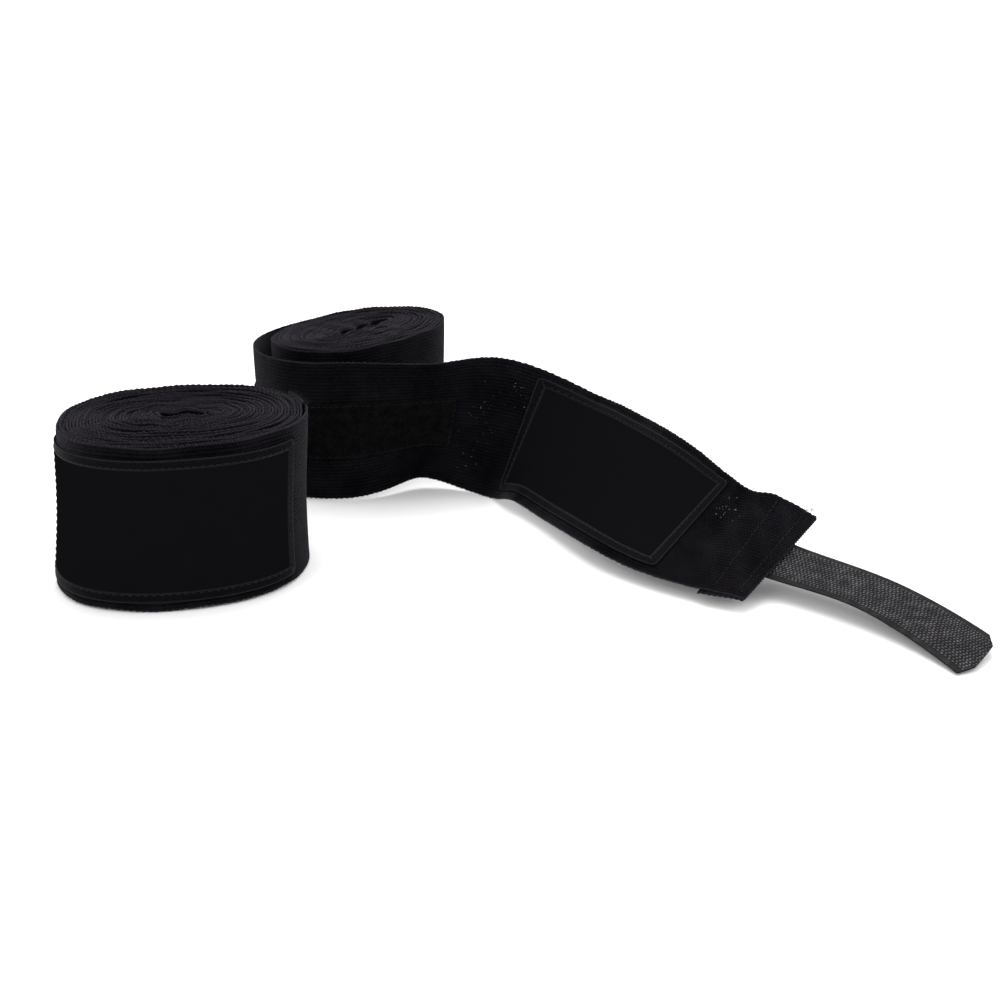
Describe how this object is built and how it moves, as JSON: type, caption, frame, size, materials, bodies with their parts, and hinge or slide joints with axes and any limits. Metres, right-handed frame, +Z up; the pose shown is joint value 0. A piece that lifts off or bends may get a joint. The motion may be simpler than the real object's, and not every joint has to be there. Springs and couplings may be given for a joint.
{
  "type": "boxing hand wraps",
  "caption": "Black cotton boxing hand wraps: long webbing bands with a label, soft loop tape, hemmed end and hook tape, one rolled up and one partly unrolled.",
  "frame": {"origin": "centre of the bounding box in plan, at the height of the surface that the rolls stand on", "axes": "+Z up, along the rolls' upright edges; +X to the right, towards the laid-out end, when the loosened wrap's label is seen from the front; +Y away from that viewer"},
  "size_m": [0.273, 0.225, 0.0516],
  "materials": {
    "cotton_webbing": "matt black ribbed cotton webbing",
    "label_cloth": "plain black label cloth, slightly smooth",
    "sewing_thread": "dark grey sewing thread",
    "hook_tape_nylon": "dark grey nylon hook tape",
    "loop_tape_pile": "soft black loop pile"
  },
  "bodies": {
    "wrap_b_roll": {"b_band": "cotton_webbing", "b_loose_turn": "cotton_webbing", "b_loop_tape_roll_part": "loop_tape_pile", "b_thumb_loop": "cotton_webbing"},
    "wrap_b_tail": {"b_tail": "cotton_webbing", "b_loop_tape_tail_part": "loop_tape_pile", "b_label": "label_cloth", "b_label_border": "sewing_thread", "b_hem_fold": "cotton_webbing", "b_hem_seam_1": "sewing_thread", "b_hem_seam_2": "sewing_thread"},
    "wrap_b_hook_tape": {"b_hook_tape": "hook_tape_nylon"},
    "wrap_a": {"a_band": "cotton_webbing", "a_label": "label_cloth", "a_label_border": "sewing_thread", "a_loop_tape": "loop_tape_pile", "a_hem_fold": "cotton_webbing", "a_hem_seam_1": "sewing_thread", "a_hem_seam_2": "sewing_thread", "a_thumb_loop": "cotton_webbing"},
    "wrap_a_hook_tape": {"a_hook_tape": "hook_tape_nylon"}
  },
  "joints": [
    {"name": "wrap_a_lift", "type": "slide", "parent": "wrap_b_roll", "child": "wrap_a", "axis": [0, 0, 1], "range_m": [0, 0.1]},
    {"name": "a_hook_peel", "type": "hinge", "parent": "wrap_a", "child": "wrap_a_hook_tape", "pos_m": [-0.07018, -0.01471, 0.025], "axis": [0, 0, -1], "range_deg": [0, 35]},
    {"name": "b_tail_swing", "type": "hinge", "parent": "wrap_b_roll", "child": "wrap_b_tail", "pos_m": [-0.06067, 0.02109, 0.02574], "axis": [0, 0, 1], "range_deg": [-60, 25]},
    {"name": "b_hook_fold", "type": "hinge", "parent": "wrap_b_tail", "child": "wrap_b_hook_tape", "pos_m": [0.08464, -0.05668, 0.00996], "axis": [-0.5853, -0.7844, -0.2053], "range_deg": [0, 135]}
  ]
}
